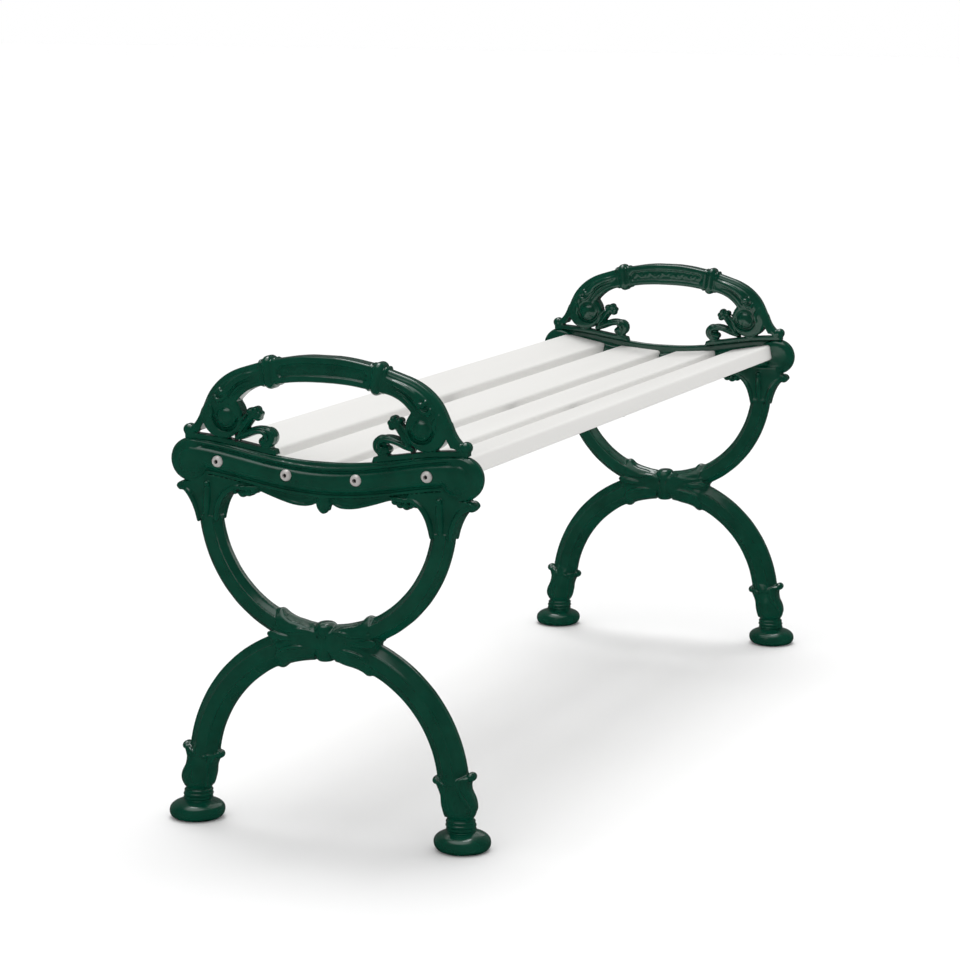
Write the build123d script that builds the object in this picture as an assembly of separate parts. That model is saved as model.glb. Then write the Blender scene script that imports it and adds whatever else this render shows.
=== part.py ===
"""Backless garden bench: two cast ends with armrests and four dished seat slats. Millimetres, +Z up.

The origin is on the floor under the middle of the bench. X runs along the slats, and -Y is the front.
Each end is modelled once in an end frame of its own, where +X points outward from the bench, the
casting's middle plane is X = 0 and the bench's middle is Y = 0. place() puts it at either end.
"""
from build123d import *
from math import cos, pi, radians, sin
import os

# ---- driving dimensions -------------------------------------------------------------------
END_X = 600.0                # from the bench's middle to each casting's middle plane

# crossed legs: an upper ring open at the top, and a lower ring open at the bottom
UPPER_Z = 391.0              # centre of the upper ring
UPPER_IN = 137.0
UPPER_OUT = 167.0
LOWER_Z = 67.0               # centre of the lower ring
LOWER_IN = 145.5
LOWER_OUT = 184.0
LEG_DEPTH = 26.0             # casting thickness along X
LEG_FACE = 12.0              # width of the flat strip down the middle of a leg's face
LEG_SIDE = 7.0               # width of a leg's side between its bevels
ANKLE_Z = 96.0               # where the lower ring meets the foot

# knot at the crossing
KNOT_Z = 233.0
KNOT_R = 12.5
KNOT_HEIGHT = 46.0

# turned feet
FOOT_Y = 175.0
BUN_R = 33.6
BUN_HEIGHT = 21.0
NECK_R = 18.0
BULB_R = 21.0
BULB_Z = 51.0
COLLAR_R = 20.5
COLLAR_Z = 87.0

# seat rail
RAIL_TOP = 450.0             # top edge at the middle of the bench
RAIL_RISE = 17.0             # how much higher the top edge is at the lobes
RAIL_HOLLOW = 1.15           # above 1, the dish stays low further out from the middle
RAIL_BOTTOM = 409.5
RAIL_THICK = 12.0
PANEL_OUT = 15.5             # face of the raised panel
PANEL_EDGE = 10.0            # how far the panel stays below the rail's top edge
PANEL_HEIGHT = 26.5
LOBE_Y = 175.0
LOBE_Z = 439.0
LOBE_R = 28.0
LOBE_IN = 14.0
LOBE_OUT = 13.0

# armrest
ARM_TOP = 575.0
ARM_DEPTH = 24.0
COLLAR_BEAD_Y = 71.0         # ring bead beside the handgrip
COLLAR_BEAD_Z = 552.0
COLLAR_BEAD_R = 19.5
VOLUTE_Y = 130.0
VOLUTE_Z = 491.0
VOLUTE_R = 24.0

# seat slats: rounded boards on a shallow dish
SLAT_LENGTH = 2 * END_X
SLAT_WIDTH = 66.0
SLAT_THICK = 22.0
SLAT_ROUND = 4.0
SLATS = {                    # node: (Y, Z of the top's middle, tilt about X in degrees)
    "rear_slat": (133.5, 453.6, 10.5),
    "inner_rear_slat": (44.4, 443.4, 4.2),
    "inner_front_slat": (-44.4, 443.4, -4.2),
    "front_slat": (-133.5, 453.6, -10.5),
}
LUG_DEPTH = 24.0             # shelf under each slat end
LUG_THICK = 6.0
FIT_GAP = 0.3                # play around slat ends and fasteners

# M8 button-head screws through the rail, pulling on barrel nuts in the slat ends
SCREW_R = 4.0
SCREW_HEAD_R = 7.0
SCREW_HEAD_H = 4.4
SCREW_SHOULDER_R = 5.9       # a point half way up the domed head
SCREW_SHOULDER_H = 2.7
SCREW_CROWN_R = 3.6          # flat ring around the socket
SCREW_SINK = 1.5             # the head sits this deep in a spot face
SCREW_LENGTH = 60.0
SOCKET_R = 2.9
NUT_R = 6.0
NUT_LENGTH = 18.0
NUT_IN = 36.0                # nut axis, from the slat's end

# M6 socket screws from under the rail into the armrest
ARM_BOLT_Y = 114.0
ARM_BOLT_X = 4.0
ARM_BOLT_R = 3.0
ARM_BOLT_HEAD_R = 5.0
ARM_BOLT_HEAD_H = 6.0
ARM_BOLT_SEAT = 414.0        # underside of the head's seat
ARM_BOLT_TIP = 480.0

# flat steel bar under the slats at mid length
BAR_WIDTH = 30.0
BAR_THICK = 4.0
BAR_END = 146.0
WOOD_SCREW_R = 2.2
WOOD_SCREW_HEAD_R = 4.2
WOOD_SCREW_HEAD_H = 2.4
WOOD_SCREW_APART = 20.0      # between the two screws of one slat
WOOD_SCREW_IN = 14.0

# push-in foot pads
PAD_R = 25.0
PAD_THICK = 4.0
PAD_PROUD = 1.0
STEM_R = 5.0
STEM_HEIGHT = 16.0


# ---- helpers ------------------------------------------------------------------------------
def both(shape):
    """The shape and its mirror image about the bench's middle, Y = 0."""
    return shape + mirror(shape, about=Plane.XZ)


def disc(y, z, r, x_low, x_high):
    """A round bar along X."""
    bar = Cylinder(r, x_high - x_low, rotation=(0, 90, 0))
    return Pos((x_low + x_high) / 2, y, z) * bar


def upright(x, y, r, z_low, z_high):
    """A round bar along Z."""
    return Pos(x, y, (z_low + z_high) / 2) * Cylinder(r, z_high - z_low)


def plate(outline, x_low, x_high):
    """A flat plate with the given closed outline in the YZ plane."""
    face = Plane.YZ * make_face(outline)
    return Pos(x_low, 0, 0) * extrude(face, x_high - x_low, dir=(1, 0, 0))


def one_solid(shape):
    """The single solid inside a boolean result."""
    solids = shape.solids()
    assert len(solids) == 1, len(solids)
    return solids[0]


def rail_top(y):
    """Height of the rail's top edge: a smooth rise from the middle to the lobes."""
    t = min(abs(y) / LOBE_Y, 1.0)
    return RAIL_TOP + RAIL_RISE * sin(pi / 2 * t ** RAIL_HOLLOW) ** 2


def place(shape, side):
    """Put an end-frame shape at the right end (side 1) or, mirrored, at the left end (side -1)."""
    at_right = Pos(END_X, 0, 0) * shape
    if side > 0:
        return at_right
    return mirror(at_right, about=Plane.YZ)


def on_slat(node, x=0.0):
    """Place in a slat's top, on its middle line: x along the bench, y across the slat, z up out of it."""
    y, z, tilt = SLATS[node]
    return Location((x, y, z), (tilt, 0, 0))


# ---- cast end -----------------------------------------------------------------------------
def leg_ring(z, r_in, r_out):
    """Half of a ring about an X axis at height z, with a bevelled section, on the +Y side."""
    half = LEG_DEPTH / 2
    middle = (r_in + r_out) / 2
    section = Polyline(
        (r_in, -LEG_SIDE / 2), (middle - LEG_FACE / 2, -half), (middle + LEG_FACE / 2, -half),
        (r_out, -LEG_SIDE / 2), (r_out, LEG_SIDE / 2), (middle + LEG_FACE / 2, half),
        (middle - LEG_FACE / 2, half), (r_in, LEG_SIDE / 2), close=True)
    face = Plane((0, 0, 0), x_dir=(0, 1, 0), z_dir=(0, 0, 1)) * make_face(section)
    return Pos(0, 0, z) * revolve(face, Axis.X, 360)


def crossed_legs():
    """Upper and lower rings cut to their working arcs, on the +Y side."""
    upper = leg_ring(UPPER_Z, UPPER_IN, UPPER_OUT)
    upper &= Pos(0, 0, UPPER_Z) * Box(60, 400, 400, align=(Align.CENTER, Align.MIN, Align.MAX))
    lower = leg_ring(LOWER_Z, LOWER_IN, LOWER_OUT)
    lower &= Pos(0, 0, ANKLE_Z) * Box(60, 400, 400, align=(Align.CENTER, Align.MIN, Align.MIN))
    return upper + lower


def leaf_wrap():
    """The leaves that wrap the crossing: a swelling beside the knot, and a bud above and below."""
    web = plate(Polyline((0, 214), (40, 209), (62, 205), (80, 228), (80, 240), (62, 266),
                         (40, 259), (0, 252), close=True), -LEG_DEPTH / 2, LEG_DEPTH / 2)
    return web + disc(55, 266, 5.5, -8, 8) + disc(56, 203, 5.5, -8, 8)


def knot():
    """The banded knot in the middle of the crossing."""
    half = KNOT_HEIGHT / 2
    outline = [Line((0, -half), (KNOT_R - 3, -half)),
               ThreePointArc((KNOT_R - 3, -half), (KNOT_R + 2, -9), (KNOT_R, 3)),
               ThreePointArc((KNOT_R, 3), (KNOT_R + 1.5, half / 2 + 2), (KNOT_R - 3, half)),
               Line((KNOT_R - 3, half), (0, half)),
               Line((0, half), (0, -half))]
    return Pos(0, 0, KNOT_Z) * revolve(Plane.XZ * make_face(outline), Axis.Z, 360)


def foot():
    """Turned foot on the +Y side: bun, ringed neck, bulb and collar."""
    profile = [Line((0, PAD_PROUD), (BUN_R - 4.5, PAD_PROUD)),
               ThreePointArc((BUN_R - 4.5, PAD_PROUD), (BUN_R, 9), (BUN_R - 6, 16.5)),
               Line((BUN_R - 6, 16.5), (NECK_R + 2.5, BUN_HEIGHT)),
               Line((NECK_R + 2.5, BUN_HEIGHT), (NECK_R, BUN_HEIGHT + 2)),
               Line((NECK_R, BUN_HEIGHT + 2), (NECK_R, 37)),
               ThreePointArc((NECK_R, 37), (BULB_R, BULB_Z), (BULB_R - 4.5, 76)),
               Line((BULB_R - 4.5, 76), (COLLAR_R - 3, COLLAR_Z - 7)),
               ThreePointArc((COLLAR_R - 3, COLLAR_Z - 7), (COLLAR_R, COLLAR_Z),
                             (COLLAR_R - 4, COLLAR_Z + 6)),
               Line((COLLAR_R - 4, COLLAR_Z + 6), (0, ANKLE_Z + 12)),
               Line((0, ANKLE_Z + 12), (0, PAD_PROUD))]
    turned = revolve(Plane.XZ * make_face(profile), Axis.Z, 360)
    for ring_z in (24.5, 29.5, 34.5):
        turned += Pos(0, 0, ring_z) * Torus(NECK_R, 1.6)
    ankle = Pos(0, -8, 0) * upright(0, 0, 16, BULB_Z, ANKLE_Z + 14)
    body = Pos(0, FOOT_Y, 0) * (turned + ankle)
    body -= upright(0, FOOT_Y, PAD_R + FIT_GAP, 0, PAD_THICK)
    return body - upright(0, FOOT_Y, STEM_R, 0, STEM_HEIGHT + 2)


def capital():
    """Flared top of a leg under the lobe, on the +Y side."""
    flare = plate([Spline((136, 372), (133, 388), (124, 404), tangents=((0, 1), (-1, 1))),
                   Line((124, 404), (124, 424)),
                   Line((124, 424), (186, 424)),
                   Line((186, 424), (192, 409)),
                   Spline((192, 409), (178, 394), (167, 372), tangents=((-1, -0.3), (-0.2, -1))),
                   Line((167, 372), (136, 372))], -LEG_DEPTH / 2, LEG_DEPTH / 2)
    curl = disc(191, 409, 5, -10, 10)
    stud = disc(155, 411, 4.5, 0, LEG_DEPTH / 2 + 2)
    return flare + curl + stud


def top_edge(y_from, y_to, drop=0.0):
    """The rail's top edge, lowered by drop."""
    steps = 6
    ys = [y_from + (y_to - y_from) * i / steps for i in range(steps + 1)]
    return Spline([(y, rail_top(y) - drop) for y in ys])


def panel_bottom(y_from, y_to):
    """The raised panel's lower edge, which rises in line with the rail's top edge."""
    return top_edge(y_from, y_to, PANEL_HEIGHT + PANEL_EDGE)


def closed_band(upper, lower):
    """A closed outline between two edges that run the same way."""
    return [upper, Line(upper @ 1, lower @ 1), lower, Line(lower @ 0, upper @ 0)]


def swag():
    """Moulding that hangs under the middle of the rail, with a pendant drop."""
    hang = plate([Line((0, 412), (0, 398)),
                  Line((0, 398), (14, 398)),
                  Spline((14, 398), (34, 396), (60, 402.5), (94, 412)),
                  Line((94, 412), (0, 412))], 0, 9)
    return hang + disc(0, 398, 9.5, 0, 13)


def leaf_cluster():
    """Three leaf tips under the rail, beside the leg; the armrest bolt comes up through them."""
    tips = disc(98, 410, 6.5, -2, 12)
    tips += disc(107, 410, 8, -2, 14)
    return tips + disc(116, 411, 8.5, -2, 14)


def seat_rail():
    """Dished rail with a raised panel and a round lobe at each end, on the +Y side."""
    underside = Line((0, RAIL_BOTTOM), (LOBE_Y, RAIL_BOTTOM + 4))
    body = plate(closed_band(top_edge(0, LOBE_Y), underside), 0, RAIL_THICK)
    panel_y = LOBE_Y - 8
    panel = plate(closed_band(top_edge(0, panel_y, PANEL_EDGE), panel_bottom(0, panel_y)),
                  RAIL_THICK - 1, PANEL_OUT)
    lobe = disc(LOBE_Y, LOBE_Z, LOBE_R, -LOBE_IN, LOBE_OUT)
    lobe = fillet(lobe.edges().filter_by(GeomType.CIRCLE), 9)
    knob = disc(LOBE_Y, LOBE_Z, LOBE_R - 9, 0, PANEL_OUT)
    return body + panel + lobe + knob + swag() + leaf_cluster()


def slat_blank(node, grow=0.0, length=SLAT_LENGTH):
    """A slat's rounded bar, grown all round when it is used to cut a pocket."""
    board = Box(length + 2 * grow, SLAT_WIDTH + 2 * grow, SLAT_THICK + 2 * grow)
    board = fillet(board.edges().filter_by(Axis.X), SLAT_ROUND + grow)
    return on_slat(node) * Pos(0, 0, -SLAT_THICK / 2) * board


def screw_axis(node):
    """Y and Z of a slat's screw, in the middle of its end."""
    y, z, tilt = SLATS[node]
    drop = SLAT_THICK / 2
    return y + drop * sin(radians(tilt)), z - drop * cos(radians(tilt))


def lug(node):
    """Shelf under one slat end, in the end frame."""
    root = RAIL_THICK / 2
    shelf = Box(LUG_DEPTH + root, SLAT_WIDTH - 10, LUG_THICK, align=(Align.MAX, Align.CENTER, Align.MAX))
    return on_slat(node, root) * Pos(0, 0, -SLAT_THICK) * shelf


def arm_bolt_holes():
    """Clearance holes and counterbores for the armrest bolts, in the end frame."""
    hole = upright(ARM_BOLT_X, ARM_BOLT_Y, ARM_BOLT_R + FIT_GAP, 395, ARM_BOLT_TIP + 2)
    bore = upright(ARM_BOLT_X, ARM_BOLT_Y, ARM_BOLT_HEAD_R + FIT_GAP, 395, ARM_BOLT_SEAT)
    return both(hole + bore)


def cast_end():
    """The whole end casting, in the end frame."""
    half = crossed_legs() + leaf_wrap() + foot() + capital() + seat_rail()
    body = both(half) + knot()
    for node in SLATS:
        body += lug(node)
        y, z = screw_axis(node)
        body -= disc(y, z, SCREW_R + 0.5, -5, 30)
        body -= disc(y, z, SCREW_HEAD_R + 0.5, PANEL_OUT - SCREW_SINK, 30)
        body -= Pos(-END_X, 0, 0) * slat_blank(node, FIT_GAP, SLAT_LENGTH - 2 * FIT_GAP)
    body -= arm_bolt_holes()
    return one_solid(body)


# ---- armrest ------------------------------------------------------------------------------
def arm_hoop():
    """The hoop's +Y half, from the middle of the handgrip down to the base."""
    grip = plate([Spline((0, ARM_TOP), (40, 572.3), (84, 563.5), (120, 552), (146, 533), (161, 505),
                         (170, 482), tangents=((1, 0), (0.5, -1))),
                  Line((170, 482), (178, 462)),
                  Line((178, 462), (160, 462)),
                  Line((160, 462), (153, 490)),
                  Line((153, 490), (117, 509)),
                  Spline((117, 509), (100, 527.5), (70, 537), (40, 541), (0, 543),
                         tangents=((-0.2, 1), (-1, 0))),
                  Line((0, 543), (0, ARM_TOP))], -ARM_DEPTH / 2, ARM_DEPTH / 2)
    lengthwise = grip.edges().filter_by(lambda e: abs(e.center().X) > ARM_DEPTH / 2 - 0.01)
    outer = lengthwise.sort_by(Axis.Z)[-4:]
    return fillet(outer, 6)


def arm_collar():
    """Ring bead around the hoop beside the handgrip panel."""
    bead = Cylinder(COLLAR_BEAD_R, 9)
    bead = fillet(bead.edges(), 4)
    frame = Plane((0, COLLAR_BEAD_Y, COLLAR_BEAD_Z), x_dir=(1, 0, 0), z_dir=(0, 1, -0.16))
    return frame.location * (bead & Box(ARM_DEPTH + 4, 2 * COLLAR_BEAD_R, 12))


def button(y, z, r, half, rounding):
    """A round boss through the casting, with rounded rims."""
    boss = disc(y, z, r, -half, half)
    return fillet(boss.edges().filter_by(GeomType.CIRCLE), rounding)


def arm_scroll():
    """Volute, bud and inner curl that join the hoop to its base."""
    scroll = button(VOLUTE_Y, VOLUTE_Z, VOLUTE_R, 11, 5)
    scroll += button(VOLUTE_Y - 3, VOLUTE_Z + 2, 10, 14, 5)
    scroll += disc(96, 494, 11, -8, 8)
    scroll += disc(88, 502, 6.5, -7, 7)
    scroll += plate(Polyline((108, 478), (84, 486), (78, 478), (104, 469), close=True), -8, 8)
    return scroll + button(75, 473, 12.5, 10, 4)


def arm_base():
    """Thin base that follows the rail's top edge, with a ball at its outer end."""
    strip = plate(closed_band(top_edge(64, 183, -7.0), top_edge(64, 183, 4.0)), -6, 11)
    end = button(179.5, 476.5, 7.5, 7.5, 5)
    post = disc(178, 471, 6, -6, 8)
    riser = plate(Polyline((66, 450), (88, 456), (86, 464), (68, 466), close=True), -7, 9)
    boss = upright(ARM_BOLT_X - 1, ARM_BOLT_Y, 7, 458, 484)
    return strip + end + post + riser + boss


def armrest():
    """The whole armrest casting, in the end frame, cut to sit on the rail and the tops of the lobes."""
    body = both(arm_hoop() + arm_collar() + arm_scroll() + arm_base())
    under = plate(closed_band(top_edge(0, LOBE_Y), top_edge(0, LOBE_Y, 50)), -40, 40)
    outer_floor = LOBE_Z + LOBE_R
    under += Pos(0, LOBE_Y, outer_floor) * Box(80, 60, 80, align=(Align.CENTER, Align.MIN, Align.MAX))
    body -= both(under)
    body -= both(upright(ARM_BOLT_X, ARM_BOLT_Y, ARM_BOLT_R, 440, ARM_BOLT_TIP + 2))
    return one_solid(body)


# ---- fasteners ----------------------------------------------------------------------------
def hex_socket(r, depth):
    """A hexagonal recess, opening upward at the origin."""
    return Pos(0, 0, -depth) * extrude(RegularPolygon(r, 6), depth)


def button_screw():
    """M8 button-head screw along -Z, with its head's seat at the origin."""
    crown = [Line((0, 0), (SCREW_HEAD_R, 0)),
             ThreePointArc((SCREW_HEAD_R, 0), (SCREW_SHOULDER_R, SCREW_SHOULDER_H),
                           (SCREW_CROWN_R, SCREW_HEAD_H)),
             Line((SCREW_CROWN_R, SCREW_HEAD_H), (0, SCREW_HEAD_H)),
             Line((0, SCREW_HEAD_H), (0, 0))]
    head = revolve(Plane.XZ * make_face(crown), Axis.Z, 360)
    head -= Pos(0, 0, SCREW_HEAD_H) * hex_socket(SOCKET_R, 2.6)
    shank = Pos(0, 0, -SCREW_LENGTH / 2) * Cylinder(SCREW_R, SCREW_LENGTH)
    return one_solid(head + chamfer(shank.edges().sort_by(Axis.Z)[0], 0.8))


def slat_screws():
    """Four screws of one end, in the end frame, as separate solids."""
    outward = Rotation(0, 90, 0)
    seat = PANEL_OUT - SCREW_SINK
    return [Pos(seat, *screw_axis(node)) * outward * button_screw() for node in SLATS]


def barrel_nut(node):
    """Cross nut in a slat end, in the end frame."""
    nut = Cylinder(NUT_R, NUT_LENGTH)
    nut -= Cylinder(SCREW_R + 0.05, 4 * NUT_R, rotation=(0, 90, 0))
    return on_slat(node, -NUT_IN) * Pos(0, 0, -SLAT_THICK / 2) * nut


def armrest_bolts():
    """Two socket screws of one end, in the end frame."""
    shank = upright(ARM_BOLT_X, ARM_BOLT_Y, ARM_BOLT_R - 0.05, ARM_BOLT_SEAT, ARM_BOLT_TIP)
    head = upright(ARM_BOLT_X, ARM_BOLT_Y, ARM_BOLT_HEAD_R, ARM_BOLT_SEAT - ARM_BOLT_HEAD_H, ARM_BOLT_SEAT)
    socket = Pos(ARM_BOLT_X, ARM_BOLT_Y, ARM_BOLT_SEAT - ARM_BOLT_HEAD_H + 3) * hex_socket(SOCKET_R, 3)
    bolt = one_solid(shank + head - socket)
    return [bolt, mirror(bolt, about=Plane.XZ)]


# ---- seat ---------------------------------------------------------------------------------
def slat(node):
    """One seat slat with its end holes, nut pockets and pilot holes for the tie bar's screws."""
    body = slat_blank(node)
    y, z = screw_axis(node)
    bore = Cylinder(SCREW_R + 0.4, 2 * SCREW_LENGTH, rotation=(0, 90, 0))
    pocket = Cylinder(NUT_R + 0.1, NUT_LENGTH + 2, align=(Align.CENTER, Align.CENTER, Align.MIN))
    for side in (-1, 1):
        body -= Pos(side * END_X, y, z) * bore
        body -= on_slat(node, side * (END_X - NUT_IN)) * Pos(0, 0, -SLAT_THICK) * pocket
    for hole in wood_screws_of(node, 0.05):
        body -= hole
    return one_solid(body)


def bar_line():
    """Corner points, in YZ, of the line along the slats' undersides, for Y from 0 out."""
    lines = []
    for node in ("inner_rear_slat", "rear_slat"):
        y, z, tilt = SLATS[node]
        slope = sin(radians(tilt)) / cos(radians(tilt))
        bottom_y = y + SLAT_THICK * sin(radians(tilt))
        bottom_z = z - SLAT_THICK * cos(radians(tilt))
        lines.append((slope, bottom_z - slope * bottom_y))
    (m1, c1), (m2, c2) = lines
    bend = (c2 - c1) / (m1 - m2)
    return [(0, c1), (bend, m1 * bend + c1), (BAR_END, m2 * BAR_END + c2)]


def seat_tie_bar():
    """Flat steel bar bent to lie along the undersides of all four slats."""
    top = bar_line()
    bottom = [(y, z - BAR_THICK) for y, z in reversed(top)]
    half = plate(Polyline(*top, *bottom, close=True), -BAR_WIDTH / 2, BAR_WIDTH / 2)
    body = both(half)
    for node in SLATS:
        for hole in wood_screws_of(node, 0.15):
            body -= hole
    return one_solid(body)


def wood_screws_of(node, grow=0.0):
    """Two countersunk screws up through the tie bar into one slat, grown all round to cut their holes."""
    upward = (Align.CENTER, Align.CENTER, Align.MIN)
    head = Cone(WOOD_SCREW_HEAD_R + grow, WOOD_SCREW_R + grow, WOOD_SCREW_HEAD_H, align=upward)
    shank = Cylinder(WOOD_SCREW_R + grow, BAR_THICK + WOOD_SCREW_IN + grow, align=upward)
    under = -SLAT_THICK - BAR_THICK
    return [on_slat(node) * Pos(0, across, under) * (head + shank)
            for across in (-WOOD_SCREW_APART / 2, WOOD_SCREW_APART / 2)]


# ---- foot pads ----------------------------------------------------------------------------
def foot_pad():
    """Push-in pad under the +Y foot, in the end frame."""
    tread = upright(0, FOOT_Y, PAD_R, 0, PAD_THICK)
    tread = chamfer(tread.edges().sort_by(Axis.Z)[0], 0.6)
    return one_solid(tread + upright(0, FOOT_Y, STEM_R - 0.05, 0, STEM_HEIGHT))


# ---- assembly -----------------------------------------------------------------------------
def build():
    """All nodes, by name."""
    nodes = {}
    casting = cast_end()
    arm = armrest()
    for name, side in (("left", -1), ("right", 1)):
        nodes[name + "_end_frame"] = place(casting, side)
        nodes[name + "_armrest"] = place(arm, side)
        nodes[name + "_slat_screws"] = Compound(children=[place(s, side) for s in slat_screws()])
        nodes[name + "_barrel_nuts"] = Compound(children=[place(barrel_nut(n), side) for n in SLATS])
        nodes[name + "_armrest_bolts"] = Compound(children=[place(b, side) for b in armrest_bolts()])
        nodes[name + "_rear_foot_pad"] = place(foot_pad(), side)
        nodes[name + "_front_foot_pad"] = place(mirror(foot_pad(), about=Plane.XZ), side)
    for node in SLATS:
        nodes[node] = slat(node)
    nodes["seat_tie_bar"] = seat_tie_bar()
    screws = [s for node in SLATS for s in wood_screws_of(node)]
    nodes["tie_bar_screws"] = Compound(children=[one_solid(s) for s in screws])
    return nodes


os.makedirs("parts", exist_ok=True)
for node_name, shape in build().items():
    export_step(shape, "parts/" + node_name + ".step")
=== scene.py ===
"""Backless garden bench: two ornate green castings with armrests, and four dished white slats.

The castings are sculpted as fields of signed distance, in millimetres, in an end frame of their own:
x points outward from the bench and the casting's middle plane is x = 0, y = 0 is the bench's middle,
and z = 0 is the floor. Distances are negative inside the metal. Each casting is the same front and
back, so a field holds only y >= 0 and is mirrored before it is meshed. The meshed casting is placed
at the right end of the bench, and mirrored for the left end.
"""
from math import cos, hypot, pi, radians, sin

import bpy
import numpy as np
import openvdb
from mathutils import Matrix, Vector


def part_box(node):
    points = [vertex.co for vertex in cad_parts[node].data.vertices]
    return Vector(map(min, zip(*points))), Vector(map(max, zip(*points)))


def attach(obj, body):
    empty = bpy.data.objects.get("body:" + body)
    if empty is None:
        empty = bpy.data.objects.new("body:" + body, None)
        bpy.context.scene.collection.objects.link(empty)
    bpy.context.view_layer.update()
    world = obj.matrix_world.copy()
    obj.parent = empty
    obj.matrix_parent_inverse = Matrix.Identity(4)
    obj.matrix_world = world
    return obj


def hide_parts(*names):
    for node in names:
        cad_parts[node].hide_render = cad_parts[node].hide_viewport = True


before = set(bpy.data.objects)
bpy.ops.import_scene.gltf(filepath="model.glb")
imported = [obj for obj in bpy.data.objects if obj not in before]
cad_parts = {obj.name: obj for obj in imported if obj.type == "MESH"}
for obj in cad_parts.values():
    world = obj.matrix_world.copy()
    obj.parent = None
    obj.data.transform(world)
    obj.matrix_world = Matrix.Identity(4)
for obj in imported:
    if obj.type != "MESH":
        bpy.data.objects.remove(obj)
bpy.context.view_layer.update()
MM = 0.001
END_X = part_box("rear_slat")[1].x        # middle plane of the right casting, in metres

# ---- driving dimensions of the castings, in millimetres -----------------------------------
FRAME_STEP = 0.95            # spacing of the end frame's field
ARM_STEP = 0.8               # and of the armrest's
RIPPLE = 0.07                # height of the waves in a cast face
MOST_TRIANGLES = 180000      # of one casting

UPPER_Z, UPPER_R, UPPER_HALF = 391.0, 152.0, 14.2     # centre height, mid radius, half width
LOWER_Z, LOWER_R, LOWER_HALF = 67.0, 164.75, 18.5
LEG_DEPTH = 13.0             # half the leg's depth along x
LEG_FLAT = 6.0               # half the width of its flat middle strip
LEG_SIDE = 3.0               # half the depth of its side, between the bevels
ANKLE_Z = 78.0               # the lower leg rises out of the foot here
CAPITAL_Z = 376.0            # the upper leg starts to flare here
LEAF_Y = 46.0                # the legs stop here, inside the leaves of the crossing

FOOT_Y = 175.0

RAIL_TOP, RAIL_RISE, RAIL_HOLLOW = 450.0, 17.0, 1.15
LOBE_Y, LOBE_Z, LOBE_R = 175.5, 441.6, 26.0
PANEL_OUT = 15.5             # face of the rail's raised panel
PANEL_R = 19.5               # the panel's round end, in the lobe
RIM_OUT = 8.5                # face of the rail's rim around the panel

SLATS = ((133.5, 453.6, 10.5), (44.4, 443.4, 4.2))    # y and z of the top's middle, tilt in degrees
SLAT_WIDTH, SLAT_THICK = 66.0, 22.0
SLAT_GAP = 0.3               # between a slat and its pocket
SHELF_REACH, SHELF_THICK = 24.0, 6.0               # of the shelf under a slat's end
HEAD_HOLE_R, SHANK_HOLE_R, HEAD_SEAT = 7.5, 4.5, 14.0     # of a slat screw; the seat is in x
SOCKET_SHADE_R = 2.4          # radius of the painted shade in the middle of a slat screw's socket
ARM_BOLT_X, ARM_BOLT_Y, ARM_BOLT_HOLE_R = 4.0, 114.0, 5.3

VOLUTE_Y, VOLUTE_Z, VOLUTE_R = 132.0, 496.5, 26.5
PEARL_Y, PEARL_Z, PEARL_R = 126.3, 496.5, 12.8     # the ball in the middle of the volute
CURL_Y, CURL_Z, CURL_R = 75.0, 474.0, 7.0          # middle line of the inner curl
ARM_DEPTH = 12.0             # half the hoop's depth
GRIP_PANEL_END, GRIP_PANEL_SINK = 58.5, 2.8        # of the recessed panel on the handgrip


# ---- fields -------------------------------------------------------------------------------
def smooth_min(a, b, blend):
    """The smaller of two distances, melted together where they differ by less than blend."""
    if blend <= 0:
        return np.minimum(a, b)
    near = np.maximum(blend - np.abs(a - b), 0) / blend
    return np.minimum(a, b) - near * near * blend / 4


def smooth_max(a, b, blend):
    """The larger of two distances, melted together where they differ by less than blend."""
    return -smooth_min(-a, -b, blend)


def rounded(a, b, radius):
    """The overlap of two solids, with the edge where they meet rounded to a radius."""
    u = np.maximum(a + radius, 0)
    v = np.maximum(b + radius, 0)
    return np.minimum(np.maximum(a, b) + radius, 0) + np.sqrt(u * u + v * v) - radius


def ramp(t):
    """A smooth step from 0 to 1 as t goes from 0 to 1."""
    t = np.clip(t, 0, 1)
    return t * t * (3 - 2 * t)


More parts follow.
